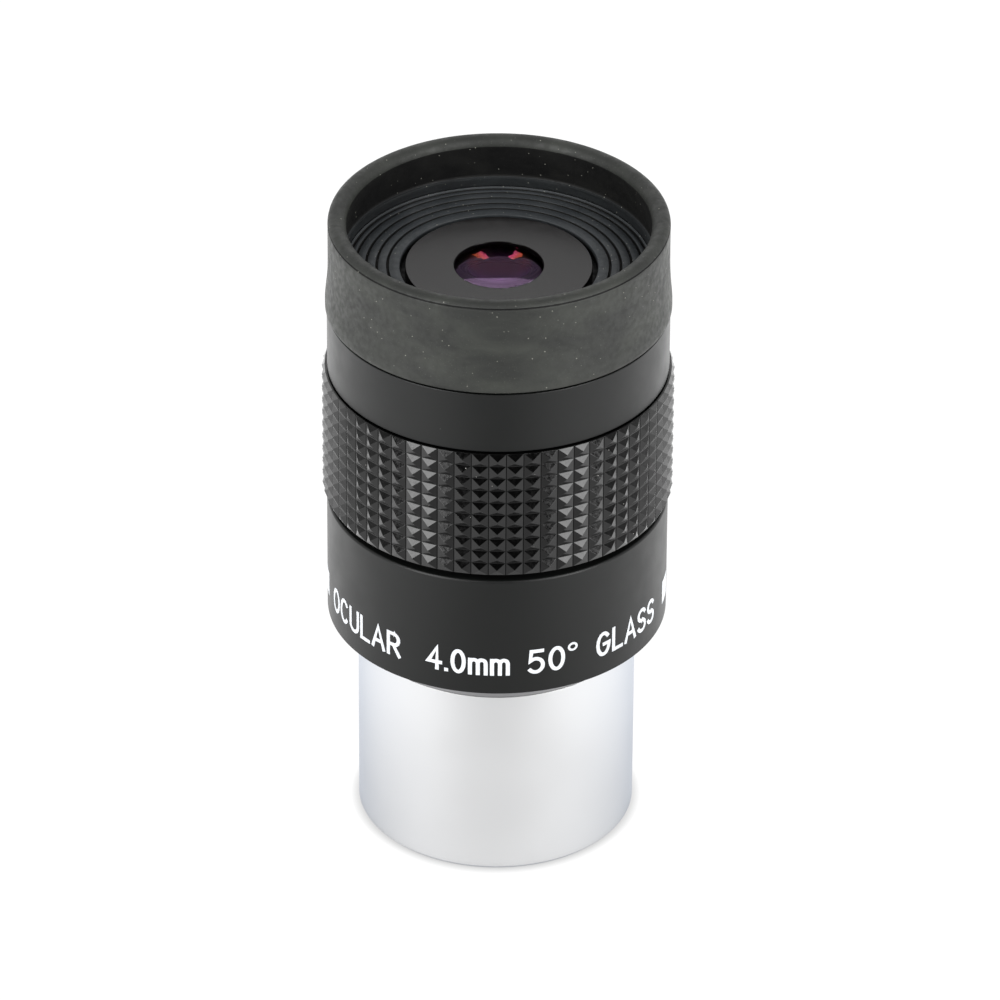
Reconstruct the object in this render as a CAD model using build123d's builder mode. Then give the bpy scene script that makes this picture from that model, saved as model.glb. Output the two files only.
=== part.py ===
from build123d import *
import os

# Telescope eyepiece with a 1.25 inch push-fit barrel, in millimetres.
# The origin is the centre of the barrel's bottom face and +Z runs along the optical axis,
# towards the eye. Every piece is turned, so each one is an outline of (radius, height)
# points revolved about Z.

os.makedirs("parts", exist_ok=True)

# Fits
slip = 0.05  # radial clearance of parts that screw or slide into each other
cement_gap = 0.02  # layer between two cemented lens elements
seat_gap = 0.02  # axial gap where a moving piece rests on a fixed one
seat_cone = 0.4  # how far a lens seat slopes back, so that it bears on the glass's edge only

# Barrel
barrel_radius = 15.85
barrel_length = 23.7  # from the bottom face to the shoulder
barrel_bore = 12.8
barrel_edge = 0.4  # chamfer at the bottom
filter_thread_radius = 13.93  # minor radius of the M28.5 x 0.6 filter thread
filter_thread_start = 0.5
filter_thread_end = 5.0
relief_width = 0.8
relief_depth = 0.35

# Screw between barrel and housing
neck_radius = 14.2
neck_root = 13.85
thread_pitch = 0.75
thread_turns = 10
thread_flank = 0.35  # share of the pitch that each flank takes
neck_relief = 0.3  # plain length between the shoulder and the thread

# Seating ring between barrel shoulder and housing
ring_radius = 15.6
ring_chamfer = 0.05

# Housing
housing_bottom = 26.6
housing_radius = 19.36
housing_edge = 0.1
housing_shoulder_edge = 0.35  # at the grip
upper_radius = 19.26
upper_edge = 0.15
upper_top = 66.1
neck_bore_end = 32.6
lower_bore = 15.0
spigot_radius = 16.2
spigot_bottom = 43.5
spigot_top = 50.6
cell_bore = 13.1

# Rubber grip
grip_bottom = 41.65
grip_top = 58.66
grip_seat = 17.9
grip_valley = 19.55
grip_crest = 19.9
grip_rows = 10
grip_low_gap = 0.98
grip_high_gap = 0.13

# Rubber eyecup
cup_seat = 16.2  # neck of the upper housing that holds the eyecup
cup_seat_top = 70.0
bead_groove = 0.45
bead_bottom = 67.6
bead_top = 68.8
cup_radius = 19.11
cup_skirt_radius = 19.45
cup_skirt_gap = 0.3  # between the eyecup's skirt and the housing
wall_split_radius = 17.15  # between the fixed floor and skirt and the wall that folds
wall_bottom = 67.0
cup_flare_top = 70.8
cup_flare_end = 72.0
floor_level = 71.2
floor_hole = 11.09
floor_grooves = [16.8, 16.03, 14.85, 13.65, 12.45]  # middle radii of the grooves between floor ribs
groove_width = 0.26
groove_depth = 0.4
wall_inner_radius = 17.2
ledge_level = 72.4  # where the undercut begins
undercut_radius = 17.5
undercut_level = 72.6
rim_bottom = 76.1
rim_root_radius = 17.12  # inside of the rim at its bottom
rim_shoulder = 77.0
rim_inner_level = 76.6
rim_inner_radius = 17.05
rim_crest_radius = 18.2
cup_top = 77.55

# Lens cell and eye-lens plate
cell_flange_radius = 14.5
cell_flange_level = 69.0
cell_bottom = 44.6
cell_tail_bore = 8.6
lens_bore = 8.0
plate_radius = 10.5
plate_top = 71.3
plate_aperture = 5.0
plate_aperture_depth = 0.5
plate_recess = 8.95  # under the plate, over the lip of the lens cell
plate_seat_bore = 7.2
plate_edge = 0.15

# Upper lens group: heights of the glass edges, from the lip of the cell upwards
lip_bottom = 52.6
lip_bore = 6.9
field_lens_bottom = 53.6
field_lens_top = 56.0
flint_bottom = 58.8
crown_bottom = 60.4
crown_top = 63.2
eye_lens_bottom = 68.6
eye_lens_top = 70.14
eye_lens_bulge = 0.71
eye_lens_lower_bulge = 1.98
eye_lens_lower_face = 6.6  # radius of the lower spherical face, with a ground flat around it
spacer_bore = 7.1

# Field stop
stop_bottom = 46.2
stop_thickness = 0.6
stop_bore = 4.5
stop_ring_bore = 7.6

# Lower lens group in the barrel
lower_cell_bottom = 7.0
lower_cell_top = 21.0
lower_lens_bore = 9.5
lower_lip_bottom = 14.5
lower_lip_top = 15.6
lower_lip_bore = 8.3
lower_ring_top = 8.6
lower_ring_bore = 7.8
spanner_slot_width = 1.0
spanner_slot_depth = 0.7
lower_flint_top = 11.6
baffle_bottom = 27.0
baffle_thickness = 0.8
baffle_bore = 6.5


def turned_section(outline):
    """Closed outline of (radius, height) points, ready to be revolved about Z."""
    with BuildSketch(Plane.XZ) as section:
        with BuildLine():
            Polyline(outline, close=True)
        make_face()
    return section.sketch


def ring_section(inner, outer, bottom, top):
    """Rectangular section of a plain ring."""
    return turned_section([(inner, bottom), (outer, bottom), (outer, top), (inner, top)])


def spacer_section(bottom, top):
    """Ring section whose ends slope back from the edges of the lenses it keeps apart."""
    return turned_section(
        [
            (spacer_bore, bottom + seat_cone),
            (lens_radius, bottom),
            (lens_radius, top),
            (spacer_bore, top - seat_cone),
        ]
    )


def lens_section(radius, bottom, top, lower_bulge, upper_bulge, lower_face=None):
    """Half section of a lens. Bottom and top are the heights of its edge, and a bulge is how
    far the middle of a spherical face stands out past its edge, negative where it is hollow.
    Lower_face is the radius of a lower face that is smaller than the lens."""
    lower_radius = lower_face or radius
    with BuildSketch(Plane.XZ) as section:
        with BuildLine():
            lower = TangentArc((0, bottom - lower_bulge), (lower_radius, bottom), tangent=(1, 0))
            upper = TangentArc((0, top + upper_bulge), (radius, top), tangent=(1, 0))
            if lower_face:
                Line(lower @ 1, (radius, bottom))
            Line((radius, bottom), upper @ 1)
            Line(upper @ 0, lower @ 0)
        make_face()
    return section.sketch


def thread_outline(root, crest, bottom, pitch, turns):
    """Saw of V ridges that stands for a screw thread, from bottom upwards."""
    points = [(root, bottom)]
    for turn in range(turns):
        start = bottom + turn * pitch
        points += [
            (crest, start + thread_flank * pitch),
            (crest, start + (1 - thread_flank) * pitch),
            (root, start + pitch),
        ]
    return points


# ---- Barrel and what it carries ----

relief_radius = filter_thread_radius + relief_depth
neck_start = barrel_length + neck_relief
neck_end = neck_start + thread_turns * thread_pitch

with BuildPart() as barrel:
    barrel_outline = [
        (filter_thread_radius + filter_thread_start, 0),
        (barrel_radius - barrel_edge, 0),
        (barrel_radius, barrel_edge),
        (barrel_radius, barrel_length),
        (neck_root, barrel_length),
    ]
    barrel_outline += thread_outline(neck_root, neck_radius, neck_start, thread_pitch, thread_turns)
    barrel_outline += [
        (barrel_bore, neck_end),
        (barrel_bore, filter_thread_end + relief_width),
        (relief_radius, filter_thread_end + relief_width),
        (relief_radius, filter_thread_end),
        (filter_thread_radius, filter_thread_end),
        (filter_thread_radius, filter_thread_start),
    ]
    revolve(turned_section(barrel_outline), axis=Axis.Z)

with BuildPart() as lower_cell:
    lower_cell_radius = barrel_bore - slip
    lower_cell_outline = [
        (lower_lens_bore, lower_cell_bottom),
        (lower_cell_radius, lower_cell_bottom),
        (lower_cell_radius, lower_cell_top),
        (lower_lens_bore, lower_cell_top),
        (lower_lip_bore, lower_lip_top),
        (lower_lip_bore, lower_lip_bottom),
        (lower_lens_bore, lower_lip_bottom),
    ]
    revolve(turned_section(lower_cell_outline), axis=Axis.Z)

with BuildPart() as lower_retaining_ring:
    lower_ring_radius = lower_lens_bore - slip
    lower_ring_section = ring_section(lower_ring_bore, lower_ring_radius, lower_cell_bottom, lower_ring_top)
    revolve(lower_ring_section, axis=Axis.Z)
    with BuildSketch(Plane.XY.offset(lower_cell_bottom)):
        Rectangle(2 * lower_lens_bore, spanner_slot_width)
    extrude(amount=spanner_slot_depth, mode=Mode.SUBTRACT)

lower_lens_radius = lower_lens_bore - slip
lower_flint_hollow = 0.9
lower_cemented_curve = 1.1
lower_crown_hollow = 0.3

with BuildPart() as lower_flint:
    lower_flint_section = lens_section(
        lower_lens_radius, lower_ring_top, lower_flint_top, -lower_flint_hollow, -lower_cemented_curve
    )
    revolve(lower_flint_section, axis=Axis.Z)

with BuildPart() as lower_crown:
    lower_crown_section = lens_section(
        lower_lens_radius,
        lower_flint_top + cement_gap,
        lower_lip_bottom,
        lower_cemented_curve,
        -lower_crown_hollow,
    )
    revolve(lower_crown_section, axis=Axis.Z)

with BuildPart() as barrel_baffle:
    baffle_section = ring_section(
        baffle_bore, barrel_bore - slip, baffle_bottom, baffle_bottom + baffle_thickness
    )
    revolve(baffle_section, axis=Axis.Z)

# ---- Seating ring ----

with BuildPart() as seating_ring:
    ring_bottom = barrel_length + seat_gap
    ring_top = housing_bottom - seat_gap
    seating_outline = [
        (neck_radius + slip, ring_bottom),
        (ring_radius - ring_chamfer, ring_bottom),
        (ring_radius, ring_bottom + ring_chamfer),
        (ring_radius, ring_top),
        (neck_radius + slip, ring_top),
    ]
    revolve(turned_section(seating_outline), axis=Axis.Z)

# ---- Housing and what it carries ----

with BuildPart() as lower_housing:
    lower_housing_outline = [
        (neck_radius + slip, housing_bottom),
        (housing_radius - housing_edge, housing_bottom),
        (housing_radius, housing_bottom + housing_edge),
        (housing_radius, grip_bottom - housing_shoulder_edge),
        (housing_radius - housing_shoulder_edge, grip_bottom),
        (grip_seat, grip_bottom),
        (grip_seat, spigot_top),
        (spigot_radius + slip, spigot_top),
        (spigot_radius + slip, spigot_bottom - slip),
        (lower_bore, spigot_bottom - slip),
        (lower_bore, neck_bore_end),
        (neck_radius + slip, neck_bore_end),
    ]
    revolve(turned_section(lower_housing_outline), axis=Axis.Z)

with BuildPart() as upper_housing:
    upper_housing_outline = [
        (cell_bore, spigot_bottom),
        (spigot_radius, spigot_bottom),
        (spigot_radius, spigot_top),
        (grip_seat, spigot_top),
        (grip_seat, grip_top),
        (upper_radius - upper_edge, grip_top),
        (upper_radius, grip_top + upper_edge),
        (upper_radius, upper_top - upper_edge),
        (upper_radius - upper_edge, upper_top),
        (cup_seat, upper_top),
        (cup_seat, bead_bottom),
        (cup_seat - bead_groove, bead_bottom),
        (cup_seat - bead_groove, bead_top),
        (cup_seat, bead_top),
        (cup_seat, cup_seat_top),
        (cell_flange_radius + slip, cup_seat_top),
        (cell_flange_radius + slip, cell_flange_level),
        (cell_bore, cell_flange_level),
    ]
    revolve(turned_section(upper_housing_outline), axis=Axis.Z)

with BuildPart() as grip_ring:
    grip_low = grip_bottom + grip_low_gap
    grip_high = grip_top - grip_high_gap
    row_pitch = (grip_high - grip_low) / grip_rows
    grip_outline = [(grip_seat + slip, grip_low), (grip_valley, grip_low)]
    for row in range(grip_rows):
        row_start = grip_low + row * row_pitch
        grip_outline += [(grip_crest, row_start + row_pitch / 2), (grip_valley, row_start + row_pitch)]
    grip_outline.append((grip_seat + slip, grip_high))
    revolve(turned_section(grip_outline), axis=Axis.Z)

with BuildPart() as eyecup_base:
    base_outline = [
        (cup_seat + slip, upper_top + cup_skirt_gap),
        (cup_skirt_radius, upper_top + cup_skirt_gap),
        (cup_skirt_radius, wall_bottom),
        (wall_split_radius, wall_bottom),
        (wall_split_radius, floor_level),
    ]
    for groove_radius in floor_grooves:
        groove_outer = groove_radius + groove_width / 2
        groove_inner = groove_radius - groove_width / 2
        base_outline += [
            (groove_outer, floor_level),
            (groove_outer, floor_level - groove_depth),
            (groove_inner, floor_level - groove_depth),
            (groove_inner, floor_level),
        ]
    base_outline += [
        (floor_hole, floor_level),
        (floor_hole, cup_seat_top + slip),
        (cup_seat + slip, cup_seat_top + slip),
        (cup_seat + slip, bead_top - slip),
        (cup_seat + slip - bead_groove, bead_top - slip),
        (cup_seat + slip - bead_groove, bead_bottom + slip),
        (cup_seat + slip, bead_bottom + slip),
    ]
    revolve(turned_section(base_outline), axis=Axis.Z)

with BuildPart() as lens_cell:
    lens_cell_outline = [
        (cell_tail_bore, cell_bottom),
        (cell_bore - slip, cell_bottom),
        (cell_bore - slip, cell_flange_level),
        (cell_flange_radius, cell_flange_level),
        (cell_flange_radius, cup_seat_top),
        (plate_recess - slip, cup_seat_top),
        (plate_recess - slip, eye_lens_top - slip),
        (lens_bore, eye_lens_top - slip),
        (lens_bore, field_lens_bottom),
        (lip_bore, field_lens_bottom - seat_cone),
        (lip_bore, lip_bottom),
        (cell_tail_bore, lip_bottom),
    ]
    revolve(turned_section(lens_cell_outline), axis=Axis.Z)

lens_radius = lens_bore - slip

with BuildPart() as eye_lens_plate:
    plate_outline = [
        (plate_seat_bore, eye_lens_top + seat_cone),
        (lens_radius, eye_lens_top),
        (plate_recess, eye_lens_top),
        (plate_recess, cup_seat_top),
        (plate_radius, cup_seat_top),
        (plate_radius, plate_top - plate_edge),
        (plate_radius - plate_edge, plate_top),
        (plate_aperture + plate_edge, plate_top),
        (plate_aperture, plate_top - plate_edge),
        (plate_aperture, plate_top - plate_aperture_depth),
    ]
    revolve(turned_section(plate_outline), axis=Axis.Z)

field_lens_bulge = 0.5
field_lens_top_bulge = 1.0
flint_hollow = 0.5
cemented_curve = 1.0
crown_bulge = 1.2

with BuildPart() as eye_lens:
    eye_lens_section = lens_section(
        lens_radius,
        eye_lens_bottom,
        eye_lens_top,
        eye_lens_lower_bulge,
        eye_lens_bulge,
        eye_lens_lower_face,
    )
    revolve(eye_lens_section, axis=Axis.Z)

with BuildPart() as eye_lens_spacer:
    revolve(spacer_section(crown_top, eye_lens_bottom), axis=Axis.Z)

with BuildPart() as doublet_crown:
    doublet_crown_section = lens_section(
        lens_radius, crown_bottom + cement_gap, crown_top, cemented_curve, crown_bulge
    )
    revolve(doublet_crown_section, axis=Axis.Z)

with BuildPart() as doublet_flint:
    doublet_flint_section = lens_section(
        lens_radius, flint_bottom, crown_bottom, flint_hollow, -cemented_curve
    )
    revolve(doublet_flint_section, axis=Axis.Z)

with BuildPart() as doublet_spacer:
    revolve(spacer_section(field_lens_top, flint_bottom), axis=Axis.Z)

with BuildPart() as field_lens:
    field_lens_section = lens_section(
        lens_radius, field_lens_bottom, field_lens_top, field_lens_bulge, field_lens_top_bulge
    )
    revolve(field_lens_section, axis=Axis.Z)

stop_radius = cell_tail_bore - slip

with BuildPart() as field_stop:
    revolve(
        ring_section(stop_bore, stop_radius, stop_bottom, stop_bottom + stop_thickness), axis=Axis.Z
    )

with BuildPart() as field_stop_ring:
    revolve(ring_section(stop_ring_bore, stop_radius, cell_bottom, stop_bottom), axis=Axis.Z)
    with BuildSketch(Plane.XY.offset(cell_bottom)):
        Rectangle(2 * cell_tail_bore, spanner_slot_width)
    extrude(amount=spanner_slot_depth, mode=Mode.SUBTRACT)

# ---- Folding part of the eyecup ----

with BuildPart() as eyecup_wall:
    wall_outline = [
        (wall_inner_radius, wall_bottom + slip),
        (cup_skirt_radius - slip, wall_bottom + slip),
        (cup_radius + slip, cup_flare_top),
        (cup_radius, cup_flare_end),
        (cup_radius, rim_bottom - slip),
        (rim_root_radius, rim_bottom - slip),
        (undercut_radius, undercut_level),
        (wall_inner_radius, ledge_level),
    ]
    revolve(turned_section(wall_outline), axis=Axis.Z)

with BuildPart() as eyecup_rim:
    with BuildSketch(Plane.XZ) as rim_section:
        with BuildLine():
            outer_side = Line((cup_radius, rim_bottom), (cup_radius, rim_shoulder))
            crest = ThreePointArc(
                outer_side @ 1, (rim_crest_radius, cup_top), (rim_inner_radius, rim_inner_level)
            )
            Polyline(crest @ 1, (rim_root_radius, rim_bottom), outer_side @ 0)
        make_face()
    revolve(rim_section.sketch, axis=Axis.Z)

pieces = {
    "barrel": barrel,
    "lower_cell": lower_cell,
    "lower_retaining_ring": lower_retaining_ring,
    "lower_flint": lower_flint,
    "lower_crown": lower_crown,
    "barrel_baffle": barrel_baffle,
    "seating_ring": seating_ring,
    "lower_housing": lower_housing,
    "upper_housing": upper_housing,
    "grip_ring": grip_ring,
    "eyecup_base": eyecup_base,
    "lens_cell": lens_cell,
    "eye_lens_plate": eye_lens_plate,
    "eye_lens": eye_lens,
    "eye_lens_spacer": eye_lens_spacer,
    "doublet_crown": doublet_crown,
    "doublet_flint": doublet_flint,
    "doublet_spacer": doublet_spacer,
    "field_lens": field_lens,
    "field_stop": field_stop,
    "field_stop_ring": field_stop_ring,
    "eyecup_wall": eyecup_wall,
    "eyecup_rim": eyecup_rim,
}

for piece_name, piece in pieces.items():
    piece.part.label = piece_name
    export_step(piece.part, f"parts/{piece_name}.step")
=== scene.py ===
import math

import bmesh
import bpy
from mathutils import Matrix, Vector, noise


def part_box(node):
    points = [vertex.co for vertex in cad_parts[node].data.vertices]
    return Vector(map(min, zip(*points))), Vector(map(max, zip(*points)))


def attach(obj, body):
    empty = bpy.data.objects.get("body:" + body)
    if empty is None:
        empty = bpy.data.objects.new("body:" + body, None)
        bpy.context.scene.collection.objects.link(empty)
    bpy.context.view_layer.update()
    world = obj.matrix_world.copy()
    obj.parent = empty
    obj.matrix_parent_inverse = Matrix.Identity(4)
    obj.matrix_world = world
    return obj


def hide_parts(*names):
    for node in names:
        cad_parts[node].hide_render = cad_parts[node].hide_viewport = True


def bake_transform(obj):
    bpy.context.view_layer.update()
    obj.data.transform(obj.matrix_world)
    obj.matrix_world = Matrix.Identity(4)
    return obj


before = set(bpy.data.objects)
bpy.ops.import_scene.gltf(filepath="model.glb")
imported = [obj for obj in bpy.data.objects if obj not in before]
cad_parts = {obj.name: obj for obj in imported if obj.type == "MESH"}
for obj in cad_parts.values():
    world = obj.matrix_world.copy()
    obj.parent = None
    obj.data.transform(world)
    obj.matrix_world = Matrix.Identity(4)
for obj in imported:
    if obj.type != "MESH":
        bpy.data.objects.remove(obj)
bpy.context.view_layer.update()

# The looks of a telescope eyepiece. Outlines are lists of (radius, height) in millimetres, taken from
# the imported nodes' boxes and the sizes below, and every mesh is built in metres.

MM = 0.001
SEGMENTS = 256  # around each turned piece
HOUSING = "housing_group"
BARREL = "barrel_group"


# ---- Sizes ----

def outer_radius(node):
    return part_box(node)[1].x / MM


def bottom(node):
    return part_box(node)[0].z / MM


def top(node):
    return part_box(node)[1].z / MM


SLIP = 0.05  # clearance between neighbours
SAME = 1e-6  # lengths that differ by less are equal
BARREL_TOP = bottom("seating_ring")
NECK_TOP = top("barrel")
HOUSING_BOTTOM = bottom("lower_housing")
GRIP_BOTTOM = bottom("grip_ring")
GRIP_TOP = top("grip_ring")
CUP_BOTTOM = bottom("eyecup_base")
CUP_TOP = top("eyecup_rim")
PLATE_TOP = top("eye_lens_plate")

# Barrel
BARREL_BORE = 12.8
BARREL_EDGE = 0.35  # chamfer at its bottom
SHOULDER_GAP = 0.02  # between the barrel's shoulder and the seating ring
FILTER_CREST = 13.93
FILTER_ROOT = 14.26
FILTER_PITCH = 0.6
FILTER_START = 0.5
FILTER_END = 5.0
FILTER_RELIEF = 0.8  # height of the undercut above the filter thread
NECK_CREST = 14.2
NECK_ROOT = 13.85
NECK_PITCH = 0.75
NECK_RELIEF = 0.3  # plain length under the neck's thread
NECK_LEAD = 0.2  # and above it
THREAD_STEPS = 8  # points on a turn of a thread

# Seating ring
RING_SWELL = 0.2  # how much nearer the ring comes to the barrel's radius than its CAD node does
RING_EDGE = 0.03

# Housing
HOUSING_EDGE = 0.02
SHOULDER_EDGE = 0.3  # at the grip
UPPER_EDGE = 0.12
UPPER_TOP = 66.1
LOWER_BORE = 15.0
NECK_BORE_END = 32.6
SPIGOT_RADIUS = 16.2
SPIGOT_BORE_END = 43.45
CELL_BORE = 13.1
FLANGE_BORE = 14.55
FLANGE_LEVEL = 69.0

# Grip
GRIP_COLUMNS = 63
GRIP_ROWS = 10
GRIP_RELIEF = 0.35
GRIP_CHANNEL = 0.1
GRIP_CHANNEL_DEPTH = 0.1
GRIP_ROW_GAP = 0.05
GRIP_END_STEP = 0.04  # how far the plain ends lie under the channels
GRIP_SEAT = 17.95
GRIP_LOW_GAP = 0.98
GRIP_HIGH_GAP = 0.13
GRIP_BEVEL = 0.035
PYRAMID_JITTER = (0.02, 0.0012, 0.03)  # unevenness of an apex: radius, angle in radians, height

# Eyecup
FLOOR_LEVEL = 71.2
FLOOR_UNDERSIDE = 70.05
FLOOR_HOLE = 11.09
FLOOR_GROOVES = [16.8, 16.03, 14.85, 13.65, 12.45]
GROOVE_WIDTH = 0.3
GROOVE_DEPTH = 0.4
GROOVE_TAPER = 0.7  # share of its width that a groove keeps at its bottom
RIB_CROWN = 0.08
RIB_FILLET = 1.5
CUP_SEAT = 16.25
WALL_INNER = 17.2
LEDGE_LEVEL = 72.45
UNDERCUT_RADIUS = 17.5
RIM_INNER = 17.05
RIM_INNER_LEVEL = 76.6
RIM_CREST = 18.2
PARTING_LEVEL = 77.0
SKIRT_EDGE = 0.08
SKIRT_HEIGHT = 0.8
SKIRT_FADE = 3.1  # height over which the skirt runs into the wall
CUP_UNEVENNESS = 0.025

# Lettering
LETTER_BASE = 29.25
LETTER_HEIGHT = 2.78
LETTER_STROKE = 0.46
LETTER_GAP = 0.75
LETTER_RELIEF = 0.02
LETTER_ROOT = 0.05  # how far a letter reaches into the housing
DEGREE_STROKE = 0.6  # stroke of the degree ring, as a share of the letters'
STROKE_END = 0.9  # how far a stroke goes past its last point, in half widths
MITRE_LIMIT = 0.5
WRAP_STEP = 0.4  # width of the flat strips that the lettering is cut into before it is wrapped

# Eye-lens plate and glass
APERTURE = 5.0
APERTURE_DEPTH = 0.5
PLATE_EDGE = 0.1
PLATE_SEAT_BORE = 7.2
PLATE_RECESS = 8.95
SEAT_CONE = 0.4
LENS_RADIUS = 7.95
EYE_LENS_SEAT = 70.14
EYE_LENS_FACE = 6.6  # radius of its lower spherical face

# Node, body, heights of the two edges, how far the middle of each face stands out past its edge
# (negative where it is hollow), and the radius of a lower face that is smaller than the lens.
LENSES = [
    ("eye_lens", HOUSING, (68.6, EYE_LENS_SEAT), (1.98, 0.71), EYE_LENS_FACE),
    ("doublet_crown", HOUSING, (60.42, 63.2), (1.0, 1.2), None),
    ("doublet_flint", HOUSING, (58.8, 60.4), (0.5, -1.0), None),
    ("field_lens", HOUSING, (53.6, 56.0), (0.5, 1.0), None),
    ("lower_flint", BARREL, (8.6, 11.6), (-0.9, -1.1), None),
    ("lower_crown", BARREL, (11.62, 14.5), (1.1, -0.3), None),
]
GLASS_IOR = 1.62
COAT_OUTSIDE = 0.24  # share of bare glass's reflection that a coated face keeps
COAT_INSIDE = 0.7
COAT_TINT = (0.85, 0.56, 0.96)  # colour of the reflection from outside
COAT_BLUR = 0.025  # roughness of the reflection from inside

# Colour of the reflection from inside, seen straight on, and then as the view slants: the part of the
# slant over which a colour comes in, and the colour.
COAT_STRAIGHT = (0.45, 0.1, 0.55)
COAT_SLANTED = [
    ((0.004, 0.014), (1.0, 0.1, 0.3)),
    ((0.014, 0.03), (0.95, 0.18, 0.07)),
    ((0.05, 0.12), (0.2, 0.07, 0.24)),
]

# Eyecup rubber: colour where it is worn, where it is fresh, share of the cells with dust, and specular.
CUP_OUTSIDE = ((0.0195, 0.0213, 0.0176), (0.0085, 0.0094, 0.0079), 0.4, 0.4)
# The floor's rubber: its own bluer tone, and lighter than the outside as painted light on the upward-facing
# floor.
CUP_FLOOR_TONE_AND_LIGHT = ((0.028, 0.0315, 0.034), (0.017, 0.02, 0.0225), 0.8, 0.4)
# Painted shade: a darker copy of the rubber for the inner wall's foot under the ledge.
CUP_FOOT_PAINTED_SHADE = ((0.013, 0.015, 0.016), (0.008, 0.009, 0.010), 0.5, 0.25)
# Painted shade: a much darker copy of the rubber for the undercut inner wall, the floor's grooves and the
# parting line.
CUP_INSIDE_PAINTED_SHADE = ((0.008, 0.008, 0.0075), (0.004, 0.004, 0.004), 0.35, 0.17)


# ---- Mesh building ----

def rounded(corners, steps=5):
    """Outline whose corners are rounded. Each corner is (radius, height) or (radius, height, fillet)."""
    outline = []
    for index, corner in enumerate(corners):
        here = Vector(corner[:2])
        fillet = corner[2] if len(corner) > 2 else 0
        if not fillet:
            outline.append(tuple(here))
            continue
        before = Vector(corners[index - 1][:2]) - here
        after = Vector(corners[(index + 1) % len(corners)][:2]) - here
        half = before.angle(after) / 2
        most = 0.49 * min(before.length, after.length)
        reach = min(fillet / math.tan(half), most)
        radius = reach * math.tan(half)
        inwards = (before.normalized() + after.normalized()).normalized()
        centre = here + inwards * (radius / math.sin(half))
        first = here + before.normalized() * reach - centre
        last = here + after.normalized() * reach - centre
        for step in range(steps + 1):
            outline.append(tuple(centre + first.lerp(last, step / steps).normalized() * radius))
    return outline


def arc(start, middle, end, steps=12):
    """Points on the circle through three points, from start to end."""
    (ax, ay), (bx, by), (cx, cy) = start, middle, end
    d = 2 * (ax * (by - cy) + bx * (cy - ay) + cx * (ay - by))
    a2, b2, c2 = ax * ax + ay * ay, bx * bx + by * by, cx * cx + cy * cy
    centre = Vector((
        (a2 * (by - cy) + b2 * (cy - ay) + c2 * (ay - by)) / d,
        (a2 * (cx - bx) + b2 * (ax - cx) + c2 * (bx - ax)) / d,
    ))
    radius = (Vector(start) - centre).length
    points = []
    for first, last in ((start, middle), (middle, end)):
        u, v = Vector(first) - centre, Vector(last) - centre
        points += [tuple(centre + u.lerp(v, k / steps).normalized() * radius) for k in range(steps)]
    return points + [tuple(end)]


def sphere_face(radius, edge, bulge, steps=24):
    """Points of a lens face from its middle to its edge. Bulge is the height of the middle over the edge."""
    curve = (radius * radius + bulge * bulge) / (2 * bulge)
    centre = edge + bulge - curve
    face = []
    for k in range(steps + 1):
        reach = radius * k / steps
        face.append((reach, centre + math.copysign(math.sqrt(curve ** 2 - reach ** 2), curve)))
    return face


def finish_mesh(name, mesh_builder, smooth=True):
    """Object from a bmesh, with its doubles merged and its normals outwards."""
    bmesh.ops.remove_doubles(mesh_builder, verts=mesh_builder.verts, dist=1e-7)
    bmesh.ops.recalc_face_normals(mesh_builder, faces=mesh_builder.faces)
    mesh = bpy.data.meshes.new(name)
    mesh_builder.to_mesh(mesh)
    mesh_builder.free()
    for face in mesh.polygons:
        face.use_smooth = smooth
    piece = bpy.data.objects.new(name, mesh)
    bpy.context.scene.collection.objects.link(piece)
    return piece


def turned(name, outline, relief=None, segments=SEGMENTS):
    """Closed outline turned about Z. Relief gives a radius to add at (radius, height, angle)."""
    mesh_builder = bmesh.new()
    rings = []
    for step in range(segments):
        angle = 2 * math.pi * step / segments
        ring = []
        for radius, height in outline:
            r = radius + (relief(radius, height, angle) if relief else 0)
            corner = (r * math.cos(angle) * MM, r * math.sin(angle) * MM, height * MM)
            ring.append(mesh_builder.verts.new(corner))
        rings.append(ring)
    count = len(outline)
    for step in range(segments):
        here, there = rings[step], rings[(step + 1) % segments]
        for k in range(count):
            n = (k + 1) % count
            if outline[k][0] < SAME and outline[n][0] < SAME:
                continue  # both points lie on the axis
            mesh_builder.faces.new((here[k], here[n], there[n], there[k]))
    piece = finish_mesh(name, mesh_builder)
    weighted = piece.modifiers.new("even_normals", "WEIGHTED_NORMAL")
    weighted.keep_sharp = True
    return piece


def place(piece, body, nodes, material):
    """Puts a finished piece on its CAD body in place of its CAD nodes."""
    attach(piece, body)
    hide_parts(*nodes)
    piece.data.materials.append(material)


# ---- Materials ----

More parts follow.
